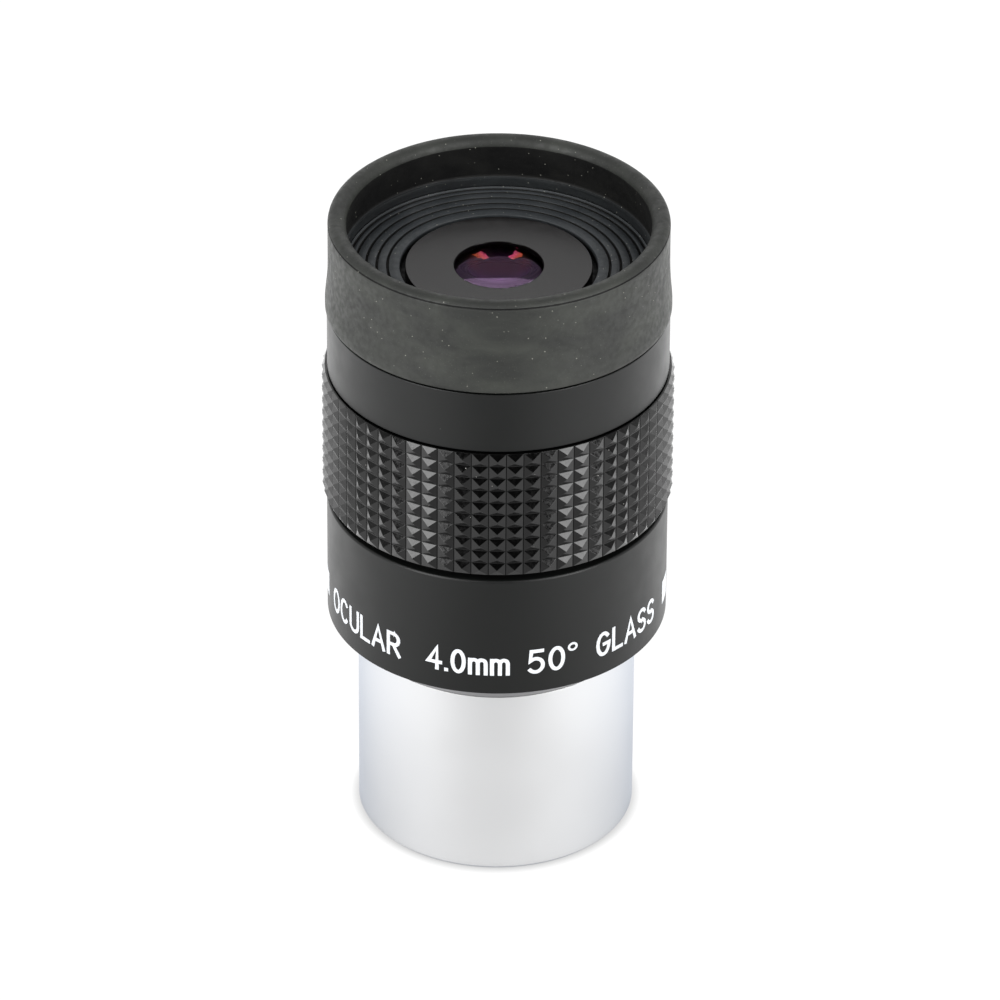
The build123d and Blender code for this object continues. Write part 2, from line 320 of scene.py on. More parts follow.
class Shading:
    """A node tree and the chains that the finishes, the floor and the studio share."""

    def __init__(self, tree):
        self.tree = tree

    def link(self, source, target):
        self.tree.links.new(source, target)

    def node(self, kind, **values):
        made = self.tree.nodes.new(kind)
        for key, value in values.items():
            if key in made.inputs:
                made.inputs[key].default_value = value
            else:
                setattr(made, key, value)
        return made

    def spread(self, value, low_in, high_in, low_out, high_out):
        """Value mapped from one range to another, clamped."""
        ranged = self.node("ShaderNodeMapRange")
        ranged.inputs["From Min"].default_value = low_in
        ranged.inputs["From Max"].default_value = high_in
        ranged.inputs["To Min"].default_value = low_out
        ranged.inputs["To Max"].default_value = high_out
        self.link(value, ranged.inputs["Value"])
        return ranged.outputs["Result"]

    def calculate(self, operation, *values):
        """Result of a maths node on numbers or sockets."""
        made = self.node("ShaderNodeMath", operation=operation)
        for socket, value in zip(made.inputs, values):
            if isinstance(value, (int, float)):
                socket.default_value = value
            else:
                self.link(value, socket)
        return made.outputs["Value"]

    def axes(self, vector):
        """X, Y and Z of a vector."""
        apart = self.node("ShaderNodeSeparateXYZ")
        self.link(vector, apart.inputs["Vector"])
        return apart.outputs

    def length(self, vector):
        measured = self.node("ShaderNodeVectorMath", operation="LENGTH")
        self.link(vector, measured.inputs[0])
        return measured.outputs["Value"]

    def to_camera(self, seen, value):
        """The number seen for the camera's own rays, and value for all others."""
        path = self.node("ShaderNodeLightPath")
        mix = self.node("ShaderNodeMix")
        self.link(path.outputs["Is Camera Ray"], mix.inputs[0])
        self.link(value, mix.inputs[2])
        mix.inputs[3].default_value = seen
        return mix.outputs[0]

    def mix_shaders(self, factor, first, second):
        """Two shaders mixed, as the tree's surface."""
        mix = self.node("ShaderNodeMixShader")
        for socket, source in zip(mix.inputs, (factor, first, second)):
            self.link(source, socket)
        self.link(mix.outputs["Shader"], self.tree.nodes["Material Output"].inputs["Surface"])


class Surface(Shading):
    """A principled material."""

    def __init__(self, name, colour, roughness, metallic=0.0, specular=0.5):
        self.material = bpy.data.materials.new(name)
        self.material.use_nodes = True
        super().__init__(self.material.node_tree)
        self.shader = self.tree.nodes["Principled BSDF"]
        self.set("Base Color", (*colour, 1))
        self.set("Roughness", roughness)
        self.set("Metallic", metallic)
        self.set("Specular IOR Level", specular)

    def set(self, socket, value):
        self.shader.inputs[socket].default_value = value

    def colour(self, value):
        self.link(value, self.shader.inputs["Base Color"])

    def position(self, scale=(1, 1, 1)):
        """Place on the object in millimetres, stretched by scale."""
        coordinates = self.node("ShaderNodeTexCoord")
        mapping = self.node("ShaderNodeMapping", Scale=tuple(s / MM for s in scale))
        self.link(coordinates.outputs["Object"], mapping.inputs["Vector"])
        return mapping.outputs["Vector"]

    def grain(self, scale, detail=3.0, stretch=(1, 1, 1), distortion=0.0):
        """Noise whose features are about 1 / scale millimetres."""
        grain = self.node("ShaderNodeTexNoise", Scale=scale, Detail=detail, Distortion=distortion)
        self.link(self.position(stretch), grain.inputs["Vector"])
        return grain.outputs["Fac"]

    def rough(self, value, low_out, high_out, low_in=0.35, high_in=0.65):
        self.link(self.spread(value, low_in, high_in, low_out, high_out), self.shader.inputs["Roughness"])

    def bump(self, value, height, strength=1.0):
        """Bump whose full range stands height millimetres proud. A second call adds to the first."""
        bump = self.node("ShaderNodeBump", Strength=strength, Distance=height * MM)
        self.link(value, bump.inputs["Height"])
        normal = self.shader.inputs["Normal"]
        if normal.is_linked:
            self.link(normal.links[0].from_socket, bump.inputs["Normal"])
        self.link(bump.outputs["Normal"], normal)

    def mix_colour(self, factor, first, second):
        """Colour between two colours or sockets."""
        mix = self.node("ShaderNodeMix", data_type="RGBA")
        for index, colour in ((6, first), (7, second)):
            if isinstance(colour, tuple):
                mix.inputs[index].default_value = (*colour, 1)
            else:
                self.link(colour, mix.inputs[index])
        self.link(factor, mix.inputs[0])
        return mix.outputs[2]

    def specks(self, scale, size, share):
        """1 on scattered specks of dust, 0 between them. Share is the part of the cells that holds one."""
        cells = self.node("ShaderNodeTexVoronoi", Scale=scale)
        self.link(self.position(), cells.inputs["Vector"])
        near = self.spread(cells.outputs["Distance"], size * 0.5, size, 1, 0)
        chosen = self.node("ShaderNodeSeparateColor")
        self.link(cells.outputs["Color"], chosen.inputs["Color"])
        some = self.spread(chosen.outputs["Red"], 1 - share, 1 - share + 0.01, 0, 1)
        return self.calculate("MULTIPLY", near, some)

    def dust(self, scale, size, share, under, colour):
        """Base colour under with specks of dust on it."""
        self.colour(self.mix_colour(self.specks(scale, size, share), under, colour))

    def radius_wave(self, pitch):
        """Fine ridges in rings about Z, as a lathe tool leaves them on a face."""
        axes = self.axes(self.position())
        flat = self.node("ShaderNodeCombineXYZ")
        self.link(axes["X"], flat.inputs["X"])
        self.link(axes["Y"], flat.inputs["Y"])
        return self.ridges(self.length(flat.outputs["Vector"]), pitch)

    def height_wave(self, pitch):
        """Fine ridges around a turned cylinder."""
        return self.ridges(self.axes(self.position())["Z"], pitch)

    def ridges(self, value, pitch):
        return self.calculate("SINE", self.calculate("MULTIPLY", value, 2 * math.pi / pitch))


def satin_chrome():
    """Plated barrel: bright metal, brushed softly around, with faint handling marks, and painted shade that
    makes its colour darker and bluer towards its silhouettes.
    """
    surface = Surface("satin_chrome", (0.74, 0.745, 0.755), 0.45, metallic=1.0)
    surface.set("Specular Tint", (0.62, 0.66, 0.72, 1))
    surface.rough(surface.grain(0.12, detail=2), 0.43, 0.48)
    surface.bump(surface.grain(1.2, detail=5, stretch=(0.25, 0.25, 14)), 0.0006)
    # Painted reflection of shade: the base colour turns darker and bluer where the surface turns away from
    # the view.
    rim = surface.node("ShaderNodeLayerWeight", Blend=0.35)
    painted_edge_shade = surface.mix_colour(rim.outputs["Facing"], (0.68, 0.68, 0.68), (0.59, 0.61, 0.65))
    surface.dust(0.4, 0.035, 0.03, painted_edge_shade, (0.6, 0.6, 0.6))
    return surface.material


def black_anodised():
    """Housing: deep black anodised aluminium with a satin sheen and a very fine turned grain."""
    black = (0.002, 0.0024, 0.0022)
    surface = Surface("black_anodised", black, 0.42, specular=0.28)
    surface.rough(surface.grain(0.35, detail=4), 0.4, 0.45)
    surface.bump(surface.height_wave(0.12), 0.0004)
    surface.bump(surface.grain(14, detail=2), 0.0016)
    surface.dust(1.1, 0.05, 0.02, black, (0.12, 0.12, 0.12))
    return surface.material


def grip_rubber():
    """Grip: glossy moulded rubber with a slightly orange-peeled skin and a little dust."""
    black = (0.0008, 0.0008, 0.0008)
    surface = Surface("grip_rubber", black, 0.18, specular=0.34)
    surface.rough(surface.grain(2.5, detail=4), 0.12, 0.22)
    surface.bump(surface.grain(4, detail=4), 0.0045)
    film = surface.mix_colour(surface.specks(7, 0.2, 0.12), black, (0.014, 0.014, 0.013))
    surface.dust(1.7, 0.1, 0.035, film, (0.35, 0.34, 0.32))
    return surface.material


def eyecup_rubber(name, worn, fresh, dust_share, specular):
    """Eyecup: matte rubber, faintly bloomed where it is handled, with dust on it."""
    surface = Surface(name, fresh, 0.6, specular=specular)
    patches = surface.grain(0.16, detail=5, stretch=(1, 1, 2.2), distortion=0.6)
    skin = surface.mix_colour(surface.spread(patches, 0.38, 0.66, 0, 1), fresh, worn)
    film = surface.mix_colour(surface.specks(5.5, 0.24, 0.2), skin, tuple(2.3 * c for c in worn))
    surface.dust(1.5, 0.11, dust_share, film, (0.22, 0.22, 0.19))
    surface.rough(surface.grain(1.4, detail=5), 0.52, 0.68)
    surface.bump(surface.grain(6, detail=3), 0.003)
    return surface.material


def plate_black():
    """Eye-lens plate: semi-matte black with turned rings."""
    surface = Surface("plate_black", (0.0022, 0.0016, 0.0017), 0.25, specular=0.17)
    surface.rough(surface.grain(0.6, detail=4), 0.22, 0.27)
    surface.bump(surface.radius_wave(0.09), 0.0003)
    surface.bump(surface.grain(12, detail=2), 0.0005)
    return surface.material


def inside_black():
    """Dead-matte black for the inside of the barrel and the cells."""
    surface = Surface("inside_black", (0.006, 0.006, 0.0065), 0.65, specular=0.25)
    surface.rough(surface.grain(1.5, detail=4), 0.55, 0.8)
    surface.bump(surface.grain(9, detail=3), 0.006)
    return surface.material


def grey_ring():
    """Seating ring: matte grey metal."""
    surface = Surface("grey_ring", (0.27, 0.27, 0.275), 0.5, metallic=1.0)
    surface.rough(surface.grain(1.0, detail=4), 0.46, 0.54)
    surface.bump(surface.height_wave(0.1), 0.0006)
    return surface.material


def coated_glass():
    """Lens glass under an anti-reflection coating. It reflects a faint purple outside, and inside a
    colour that goes from purple to orange with the angle."""
    surface = Surface("coated_glass", (1, 1, 1), 0.0)
    surface.tree.nodes.remove(surface.shader)
    within = surface.node("ShaderNodeNewGeometry").outputs["Backfacing"]
    slant = surface.node("ShaderNodeLayerWeight", Blend=0.5).outputs["Facing"]
    inside = COAT_STRAIGHT
    for band, colour in COAT_SLANTED:
        inside = surface.mix_colour(surface.spread(slant, *band, 0, 1), inside, colour)
    coat = surface.node("ShaderNodeBsdfGlossy")
    surface.link(surface.mix_colour(within, COAT_TINT, inside), coat.inputs["Color"])
    surface.link(surface.spread(within, 0, 1, 0, COAT_BLUR), coat.inputs["Roughness"])
    body = surface.node("ShaderNodeBsdfRefraction", IOR=GLASS_IOR, Roughness=0.0)
    fresnel = surface.node("ShaderNodeFresnel", IOR=GLASS_IOR).outputs["Fac"]
    kept = surface.spread(within, 0, 1, COAT_OUTSIDE, COAT_INSIDE)
    haze = surface.spread(surface.grain(0.8, detail=2), 0.3, 0.7, 0, 0.003)
    strength = surface.calculate("ADD", surface.calculate("MULTIPLY", fresnel, kept), haze)
    surface.mix_shaders(strength, body.outputs["BSDF"], coat.outputs["BSDF"])
    return surface.material


def letter_paint():
    """White engraving paint."""
    surface = Surface("letter_paint", (0.56, 0.58, 0.605), 0.5)
    surface.rough(surface.grain(3, detail=3), 0.42, 0.6)
    surface.bump(surface.grain(9, detail=2), 0.004)
    return surface.material


# ---- Pieces ----

def thread_ripple(height, angle, pitch, depth, start, end):
    """Radius of a helical thread below its crest: 0 on the crest, depth in the root, faded at its ends."""
    phase = (height / pitch - angle / (2 * math.pi)) % 1
    fade = max(0.0, min(1.0, (height - start) / pitch, (end - height) / pitch))
    return depth * abs(2 * phase - 1) * fade


def reach_of(face):
    """Distance of a face's centre from the axis, in millimetres."""
    return math.hypot(face.center.x, face.center.y) / MM


def make_barrel(chrome, black):
    """Barrel with its helical neck and filter threads. The bore is blackened."""
    radius = outer_radius("barrel")
    shoulder = BARREL_TOP - SHOULDER_GAP
    neck_start = BARREL_TOP + NECK_RELIEF
    neck = [
        (NECK_CREST, neck_start + k * NECK_PITCH / THREAD_STEPS)
        for k in range(int((NECK_TOP - NECK_LEAD - neck_start) / NECK_PITCH * THREAD_STEPS))
    ]
    filter_wall = [
        (FILTER_CREST, FILTER_END - k * FILTER_PITCH / THREAD_STEPS)
        for k in range(int((FILTER_END - FILTER_START) / FILTER_PITCH * THREAD_STEPS))
    ]
    outline = rounded([
        (FILTER_CREST + FILTER_START, 0, 0.1),
        (radius - BARREL_EDGE, 0, 0.1),
        (radius, BARREL_EDGE, 0.15),
        (radius, shoulder, 0.04),
        (NECK_ROOT, shoulder),
    ])
    outline += [(NECK_ROOT, neck_start - 0.1)] + neck
    outline += rounded([
        (NECK_ROOT - 0.1, NECK_TOP, 0.05),
        (BARREL_BORE, NECK_TOP),
        (BARREL_BORE, FILTER_END + FILTER_RELIEF),
        (FILTER_ROOT, FILTER_END + FILTER_RELIEF),
        (FILTER_ROOT, FILTER_END + 0.1),
    ])
    outline += filter_wall
    outline += [(FILTER_CREST, FILTER_START)]

    def threads(r, z, angle):
        if abs(r - NECK_CREST) < SAME:
            return -thread_ripple(z, angle, NECK_PITCH, NECK_CREST - NECK_ROOT, neck_start, NECK_TOP)
        if abs(r - FILTER_CREST) < SAME and FILTER_START < z <= FILTER_END:
            return thread_ripple(z, angle, FILTER_PITCH, FILTER_ROOT - FILTER_CREST, FILTER_START, FILTER_END)
        return 0

    barrel = turned("barrel_shell", outline, threads)
    place(barrel, BARREL, ["barrel"], chrome)
    barrel.data.materials.append(black)
    for face in barrel.data.polygons:
        if reach_of(face) < BARREL_BORE + SLIP and face.center.z / MM > FILTER_END:
            face.material_index = 1


def make_seating_ring(grey):
    radius = outer_radius("seating_ring") + RING_SWELL
    low, high = bottom("seating_ring"), top("seating_ring")
    inner = NECK_CREST + SLIP
    ring = turned("seating_ring_shell", rounded([
        (inner, low),
        (radius, low, RING_EDGE),
        (radius, high, RING_EDGE),
        (inner, high),
    ]))
    place(ring, "seating_ring_group", ["seating_ring"], grey)


def make_lower_housing(black):
    radius = outer_radius("lower_housing")
    shoulder = GRIP_BOTTOM - GRIP_LOW_GAP
    high = top("lower_housing")
    housing = turned("lower_housing_shell", rounded([
        (NECK_CREST + SLIP, HOUSING_BOTTOM, 0.1),
        (radius, HOUSING_BOTTOM, HOUSING_EDGE),
        (radius, shoulder, SHOULDER_EDGE),
        (GRIP_SEAT - SLIP, shoulder, 0.05),
        (GRIP_SEAT - SLIP, high),
        (SPIGOT_RADIUS + SLIP, high),
        (SPIGOT_RADIUS + SLIP, SPIGOT_BORE_END),
        (LOWER_BORE, SPIGOT_BORE_END),
        (LOWER_BORE, NECK_BORE_END),
        (NECK_CREST + SLIP, NECK_BORE_END),
    ]))
    place(housing, HOUSING, ["lower_housing"], black)


def make_upper_housing(black):
    radius = outer_radius("upper_housing")
    low = bottom("upper_housing")
    seat_top = top("upper_housing")
    shoulder = GRIP_TOP + GRIP_HIGH_GAP
    housing = turned("upper_housing_shell", rounded([
        (CELL_BORE, low),
        (SPIGOT_RADIUS, low, 0.1),
        (SPIGOT_RADIUS, top("lower_housing")),
        (GRIP_SEAT - SLIP, top("lower_housing")),
        (GRIP_SEAT - SLIP, shoulder),
        (radius, shoulder, UPPER_EDGE),
        (radius, UPPER_TOP, UPPER_EDGE),
        (CUP_SEAT - SLIP, UPPER_TOP),
        (CUP_SEAT - SLIP, seat_top, 0.15),
        (FLANGE_BORE, seat_top),
        (FLANGE_BORE, FLANGE_LEVEL),
        (CELL_BORE, FLANGE_LEVEL),
    ]))
    place(housing, HOUSING, ["upper_housing"], black)


def make_grip(rubber):
    """Rubber band moulded all over with square pyramids, in columns with a narrow channel between them."""
    crest = outer_radius("grip_ring")
    valley = crest - GRIP_RELIEF
    end_radius = valley - GRIP_CHANNEL_DEPTH - GRIP_END_STEP
    row_pitch = (GRIP_TOP - GRIP_BOTTOM) / GRIP_ROWS
    column_angle = 2 * math.pi / GRIP_COLUMNS
    channel = GRIP_CHANNEL / valley / 2
    mesh_builder = bmesh.new()

    def point(radius, angle, height):
        return mesh_builder.verts.new((
            radius * math.sin(angle) * MM, -radius * math.cos(angle) * MM, height * MM
        ))

    def jitter(column, row, axis):
        """Unevenness of an apex in radius, angle or height, for axis 0, 1 or 2."""
        return PYRAMID_JITTER[axis] * noise.noise((column * 0.71 + 3.1 * axis, row * 0.83, axis * 5.7))

    heights = []
    for row in range(GRIP_ROWS):
        start = GRIP_BOTTOM + row * row_pitch
        heights += [start + GRIP_ROW_GAP / 2, start + row_pitch - GRIP_ROW_GAP / 2]
    angles = []
    for column in range(GRIP_COLUMNS):
        start = (column - 0.5) * column_angle
        angles += [start + channel, start + column_angle - channel]
    lattice = [[point(valley, a, h) for h in heights] for a in angles]
    groove = []
    for column in range(GRIP_COLUMNS):
        middle = (column + 0.5) * column_angle
        groove.append([point(valley - GRIP_CHANNEL_DEPTH, middle, h) for h in heights])
    inner_low = [point(GRIP_SEAT, a, GRIP_BOTTOM) for a in angles]
    inner_high = [point(GRIP_SEAT, a, GRIP_TOP) for a in angles]
    outer_low = [point(end_radius, a, GRIP_BOTTOM) for a in angles]
    outer_high = [point(end_radius, a, GRIP_TOP) for a in angles]
    count = len(angles)
    for i in range(count):
        j = (i + 1) % count
        inside_column = i % 2 == 0
        here, there = lattice[i], lattice[j]
        mesh_builder.faces.new((inner_low[i], inner_low[j], outer_low[j], outer_low[i]))
        if inside_column:
            mesh_builder.faces.new((outer_low[i], outer_low[j], there[0], here[0]))
            mesh_builder.faces.new((here[-1], there[-1], outer_high[j], outer_high[i]))
        else:
            deep = groove[i // 2]
            mesh_builder.faces.new((outer_low[i], outer_low[j], there[0], deep[0], here[0]))
            mesh_builder.faces.new((here[-1], deep[-1], there[-1], outer_high[j], outer_high[i]))
        mesh_builder.faces.new((outer_high[i], outer_high[j], inner_high[j], inner_high[i]))
        mesh_builder.faces.new((inner_high[i], inner_high[j], inner_low[j], inner_low[i]))
        for k in range(len(heights) - 1):
            corners = (here[k], there[k], there[k + 1], here[k + 1])
            if not inside_column:
                deep = groove[i // 2]
                mesh_builder.faces.new((here[k], deep[k], deep[k + 1], here[k + 1]))
                mesh_builder.faces.new((deep[k], there[k], there[k + 1], deep[k + 1]))
                continue
            if k % 2:
                mesh_builder.faces.new(corners)
                continue
            column, row = i // 2, k // 2
            apex = point(
                crest - abs(jitter(column, row, 0)),
                (angles[i] + angles[j]) / 2 + jitter(column, row, 1),
                (heights[k] + heights[k + 1]) / 2 + jitter(column, row, 2),
            )
            for a, b in zip(corners, corners[1:] + corners[:1]):
                mesh_builder.faces.new((a, b, apex))
    grip = finish_mesh("grip_pyramids", mesh_builder)
    soft = grip.modifiers.new("soft_edges", "BEVEL")
    soft.width = GRIP_BEVEL * MM
    soft.segments = 2
    soft.limit_method = "ANGLE"
    soft.angle_limit = math.radians(8)
    soft.harden_normals = True
    place(grip, HOUSING, ["grip_ring"], rubber)


def make_eyecup_floor(rubber, painted_groove_shade):
    """Fixed part of the eyecup: skirt on the housing's neck and ribbed floor around the eye-lens plate."""
    outer = WALL_INNER - SLIP
    corners = [
        (CUP_SEAT, CUP_BOTTOM + SLIP),
        (outer, CUP_BOTTOM + SLIP),
        (outer, FLOOR_LEVEL + 0.25),
        (outer - 0.05, FLOOR_LEVEL + 0.1),
        (outer - 0.19, FLOOR_LEVEL),
    ]
    half = GROOVE_WIDTH / 2
    for groove, inner_groove in zip(FLOOR_GROOVES, FLOOR_GROOVES[1:] + [FLOOR_HOLE - half]):
        corners += [
            (groove + half, FLOOR_LEVEL, 0.05),
            (groove + half * GROOVE_TAPER, FLOOR_LEVEL - GROOVE_DEPTH),
            (groove - half * GROOVE_TAPER, FLOOR_LEVEL - GROOVE_DEPTH),
            (groove - half, FLOOR_LEVEL, 0.05),
            ((groove + inner_groove) / 2, FLOOR_LEVEL + RIB_CROWN, RIB_FILLET),
        ]
    corners += [
        (FLOOR_HOLE, FLOOR_LEVEL, 0.12),
        (FLOOR_HOLE, FLOOR_UNDERSIDE),
        (CUP_SEAT, FLOOR_UNDERSIDE),
    ]
    floor = turned("eyecup_floor", rounded(corners, steps=4))
    place(floor, HOUSING, ["eyecup_base"], rubber)
    floor.data.materials.append(painted_groove_shade)
    # Painted shade: the grooves' walls and bottoms take the dark inside rubber.
    for face in floor.data.polygons:
        if face.center.z / MM < FLOOR_LEVEL - 0.03 and reach_of(face) > FLOOR_HOLE + 0.1:
            face.material_index = 1


def make_eyecup_wall(rubber, inside_shade_rubber, foot_shade_rubber):
    """Folding part of the eyecup: skirt, outer wall, domed rim and undercut inner wall in one skin."""
    radius = outer_radius("eyecup_rim")
    skirt = outer_radius("eyecup_base")
    outer = [
        (WALL_INNER, CUP_BOTTOM),
        (skirt - SKIRT_EDGE, CUP_BOTTOM),
        (skirt, CUP_BOTTOM + SKIRT_EDGE),
        (skirt, CUP_BOTTOM + SKIRT_HEIGHT),
    ]
    side_steps = 28
    side_start = CUP_BOTTOM + SKIRT_HEIGHT + 0.3
    side_end = PARTING_LEVEL - 0.12
    for k in range(side_steps + 1):
        height = side_start + (side_end - side_start) * k / side_steps
        flare = math.exp(-((height - CUP_BOTTOM) / SKIRT_FADE) ** 2) * (skirt - radius + 0.03)
        outer.append((radius + flare, height))
    parting = [
        (radius - 0.01, PARTING_LEVEL - 0.1),
        (radius - 0.16, PARTING_LEVEL - 0.05),
        (radius - 0.17, PARTING_LEVEL + 0.02),
        (radius - 0.04, PARTING_LEVEL + 0.07),
    ]
    dome = arc((radius - 0.05, PARTING_LEVEL + 0.1), (RIM_CREST, CUP_TOP), (RIM_INNER, RIM_INNER_LEVEL), 14)
    inner = rounded([
        (RIM_INNER, RIM_INNER_LEVEL + 0.2),
        (RIM_INNER, RIM_INNER_LEVEL - 0.1, 0.12),
        (UNDERCUT_RADIUS, LEDGE_LEVEL + 0.03),
        (WALL_INNER, LEDGE_LEVEL, 0.05),
        (WALL_INNER, CUP_BOTTOM + 2.0),
    ])[1:]
    wall_outline = outer + parting + dome + inner
    longest = 0.35  # height of a face at most
    dense = []
    for (r0, z0), (r1, z1) in zip(wall_outline, wall_outline[1:]):
        parts = max(1, int(abs(z1 - z0) / longest))
        dense += [(r0 + (r1 - r0) * k / parts, z0 + (z1 - z0) * k / parts) for k in range(parts)]
    dense.append(wall_outline[-1])

    def hand_moulded(r, z, angle):
        """Slight unevenness of soft rubber."""
        if r <= WALL_INNER + SAME or z < CUP_BOTTOM + 1:
            return 0
        around = (2.2 * math.cos(angle), 2.2 * math.sin(angle), z * 0.22)
        return CUP_UNEVENNESS * noise.noise(around)

    wall = turned("eyecup_shell", dense, hand_moulded)
    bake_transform(wall)
    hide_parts("eyecup_wall", "eyecup_rim")
    for material in (rubber, inside_shade_rubber, foot_shade_rubber):
        wall.data.materials.append(material)
    for face in wall.data.polygons:
        height = face.center.z / MM
        reach = reach_of(face)
        # Painted shade: the undercut inner wall takes the darkest rubber, and its foot under the ledge one
        # darker than the outside.
        if reach < UNDERCUT_RADIUS + 0.1 and height < RIM_INNER_LEVEL:
            face.material_index = 1 if height > LEDGE_LEVEL + 0.04 else 2
        if abs(height - PARTING_LEVEL) < 0.09 and radius - 0.3 < reach:
            face.material_index = 1  # painted shade: the parting line's groove takes the dark inside rubber


def make_plate(black):
    """Disc around the eye lens, with a countersunk aperture."""
    radius = outer_radius("eye_lens_plate")
    low = bottom("eye_lens_plate")
    plate = turned("eye_lens_disc", rounded([
        (PLATE_SEAT_BORE, EYE_LENS_SEAT + SEAT_CONE),
        (LENS_RADIUS, EYE_LENS_SEAT),
        (PLATE_RECESS, EYE_LENS_SEAT),
        (PLATE_RECESS, low),
        (radius, low),
        (radius, PLATE_TOP, PLATE_EDGE),
        (APERTURE, PLATE_TOP, PLATE_EDGE),
        (APERTURE, PLATE_TOP - APERTURE_DEPTH),
    ]))
    place(plate, HOUSING, ["eye_lens_plate"], black)


def make_lens(node, body, edges, bulges, lower_face, glass, edge_black):
    """Lens with spherical faces. Its edge and the flat around a smaller lower face are blackened."""
    radius = outer_radius(node)
    face_radius = lower_face or radius
    lower = sphere_face(face_radius, edges[0], -bulges[0])
    if lower_face:
        lower.append((radius, edges[0]))
    upper = sphere_face(radius, edges[1], bulges[1])
    lens = turned(node + "_glass", lower + upper[::-1], segments=160)
    place(lens, body, [node], glass)
    lens.data.materials.append(edge_black)
    for face in lens.data.polygons:
        on_edge = abs(face.normal.z) < 0.1
        on_flat = face.normal.z < 0 and lower_face and reach_of(face) > lower_face
        if on_edge or on_flat:
            face.material_index = 1


# ---- Lettering ----

def bow(centre, size, start, end, steps=14):
    """Points on an ellipse between two angles in degrees."""
    points = []
    for k in range(steps + 1):
        angle = math.radians(start + (end - start) * k / steps)
        points.append((centre[0] + size[0] * math.cos(angle), centre[1] + size[1] * math.sin(angle)))
    return points


# Single-stroke engraving alphabet on a cell 1 high. Each letter is (width, strokes).
GLYPHS = {
    "O": (0.62, [bow((0.31, 0.5), (0.31, 0.5), 90, 450, 32)]),
    "C": (0.6, [bow((0.31, 0.5), (0.31, 0.5), 45, 315, 26)]),
    "U": (0.58, [[(0, 1), (0, 0.3)] + bow((0.29, 0.29), (0.29, 0.29), 180, 360, 16) + [(0.58, 1)]]),
    "L": (0.5, [[(0, 1), (0, 0), (0.5, 0)]]),
    "A": (0.64, [[(0, 0), (0.32, 1), (0.64, 0)], [(0.13, 0.33), (0.51, 0.33)]]),
    "R": (0.56, [
        [(0, 0), (0, 1), (0.3, 1)] + bow((0.3, 0.74), (0.25, 0.26), 90, -90) + [(0, 0.48)],
        [(0.26, 0.48), (0.58, 0)],
    ]),
    "G": (0.62, [bow((0.31, 0.5), (0.31, 0.5), 45, 360, 28) + [(0.34, 0.48)]]),
    "S": (0.54, [
        bow((0.27, 0.75), (0.26, 0.25), 25, 270, 20) + bow((0.27, 0.25), (0.27, 0.25), 90, -155, 20)
    ]),
    "0": (0.5, [bow((0.25, 0.5), (0.25, 0.5), 90, 450, 32)]),
    "4": (0.54, [[(0.4, 0), (0.4, 1), (0, 0.3), (0.56, 0.3)]]),
    "5": (0.5, [
        [(0.46, 1), (0.06, 1), (0.02, 0.54)] + bow((0.22, 0.32), (0.27, 0.32), 122, -140, 22)
    ]),
    "m": (0.68, [
        [(0, 0), (0, 0.66)],
        [(0, 0.4)] + bow((0.17, 0.49), (0.17, 0.17), 180, 0, 10) + [(0.34, 0)],
        [(0.34, 0.4)] + bow((0.51, 0.49), (0.17, 0.17), 180, 0, 10) + [(0.68, 0)],
    ]),
    ".": (0.02, [[(0, 0.01), (0.02, 0.01)]]),
    "*": (0.22, [bow((0.11, 0.89), (0.155, 0.155), 90, 450, 20)]),
}

# Word and the azimuths in degrees between which it is spread. 0 faces the camera, positive to the right.
WORDS = [("OCULAR", -73, -34), ("4.0mm", -24, 4.5), ("50*", 10.5, 28), ("GLASS", 35.5, 67)]
MARKS = [(-84, 2.6), (80, 2.6)]  # azimuth in degrees and width in millimetres of the two plain blocks


def stroke_prism(mesh_builder, points, half_width, low, high):
    """Flat ribbon with blunt ends along points, as a closed prism between two depths."""
    points = [Vector(p) for p in points]
    closed = (points[0] - points[-1]).length < SAME
    if closed:
        points = points[:-1]
    count = len(points)
    sides = []
    for k, here in enumerate(points):
        before = points[k - 1] if closed or k else None
        after = points[(k + 1) % count] if closed or k < count - 1 else None
        first = (here - before).normalized() if before is not None else None
        second = (after - here).normalized() if after is not None else None
        first, second = first or second, second or first
        if before is None:
            here = here - second * half_width * STROKE_END
        if after is None:
            here = here + first * half_width * STROKE_END
        along = (first + second).normalized()
        across = Vector((-along.y, along.x))
        reach = half_width / max(MITRE_LIMIT, across.dot(Vector((-first.y, first.x))))
        sides.append((here + across * reach, here - across * reach))
    rings = []
    for left, right in sides:
        corners = ((left, low), (right, low), (right, high), (left, high))
        rings.append([mesh_builder.verts.new((*side, depth)) for side, depth in corners])
    for k in range(count if closed else count - 1):
        here, there = rings[k], rings[(k + 1) % count]
        for i in range(4):
            j = (i + 1) % 4
            mesh_builder.faces.new((here[i], here[j], there[j], there[i]))
    if not closed:
        mesh_builder.faces.new(rings[0][::-1])
        mesh_builder.faces.new(rings[-1])


def word_width(word):
    return sum(GLYPHS[letter][0] * LETTER_HEIGHT for letter in word) + LETTER_GAP * (len(word) - 1)


def letter_strokes(radius):
    """Strokes of the marking laid out flat, each as its points and its width."""
    strokes = []
    for word, start, end in WORDS:
        span = math.radians(end - start) * radius - LETTER_STROKE
        stretch = span / word_width(word)
        x = math.radians(start) * radius + LETTER_STROKE / 2
        for letter in word:
            width, lines = GLYPHS[letter]
            stroke = LETTER_STROKE * (DEGREE_STROKE if letter == "*" else 1)
            scale = LETTER_HEIGHT * stretch
            for line in lines:
                points = [(x + px * scale, LETTER_BASE + py * LETTER_HEIGHT) for px, py in line]
                strokes.append((points, stroke))
            x += (width * LETTER_HEIGHT + LETTER_GAP) * stretch
    middle = LETTER_BASE + LETTER_HEIGHT / 2
    for azimuth, width in MARKS:
        x = math.radians(azimuth) * radius
        rise = max(LETTER_HEIGHT + LETTER_STROKE - width, 0.2)
        strokes.append(([(x, middle - rise / 2), (x, middle + rise / 2)], width))
    return strokes


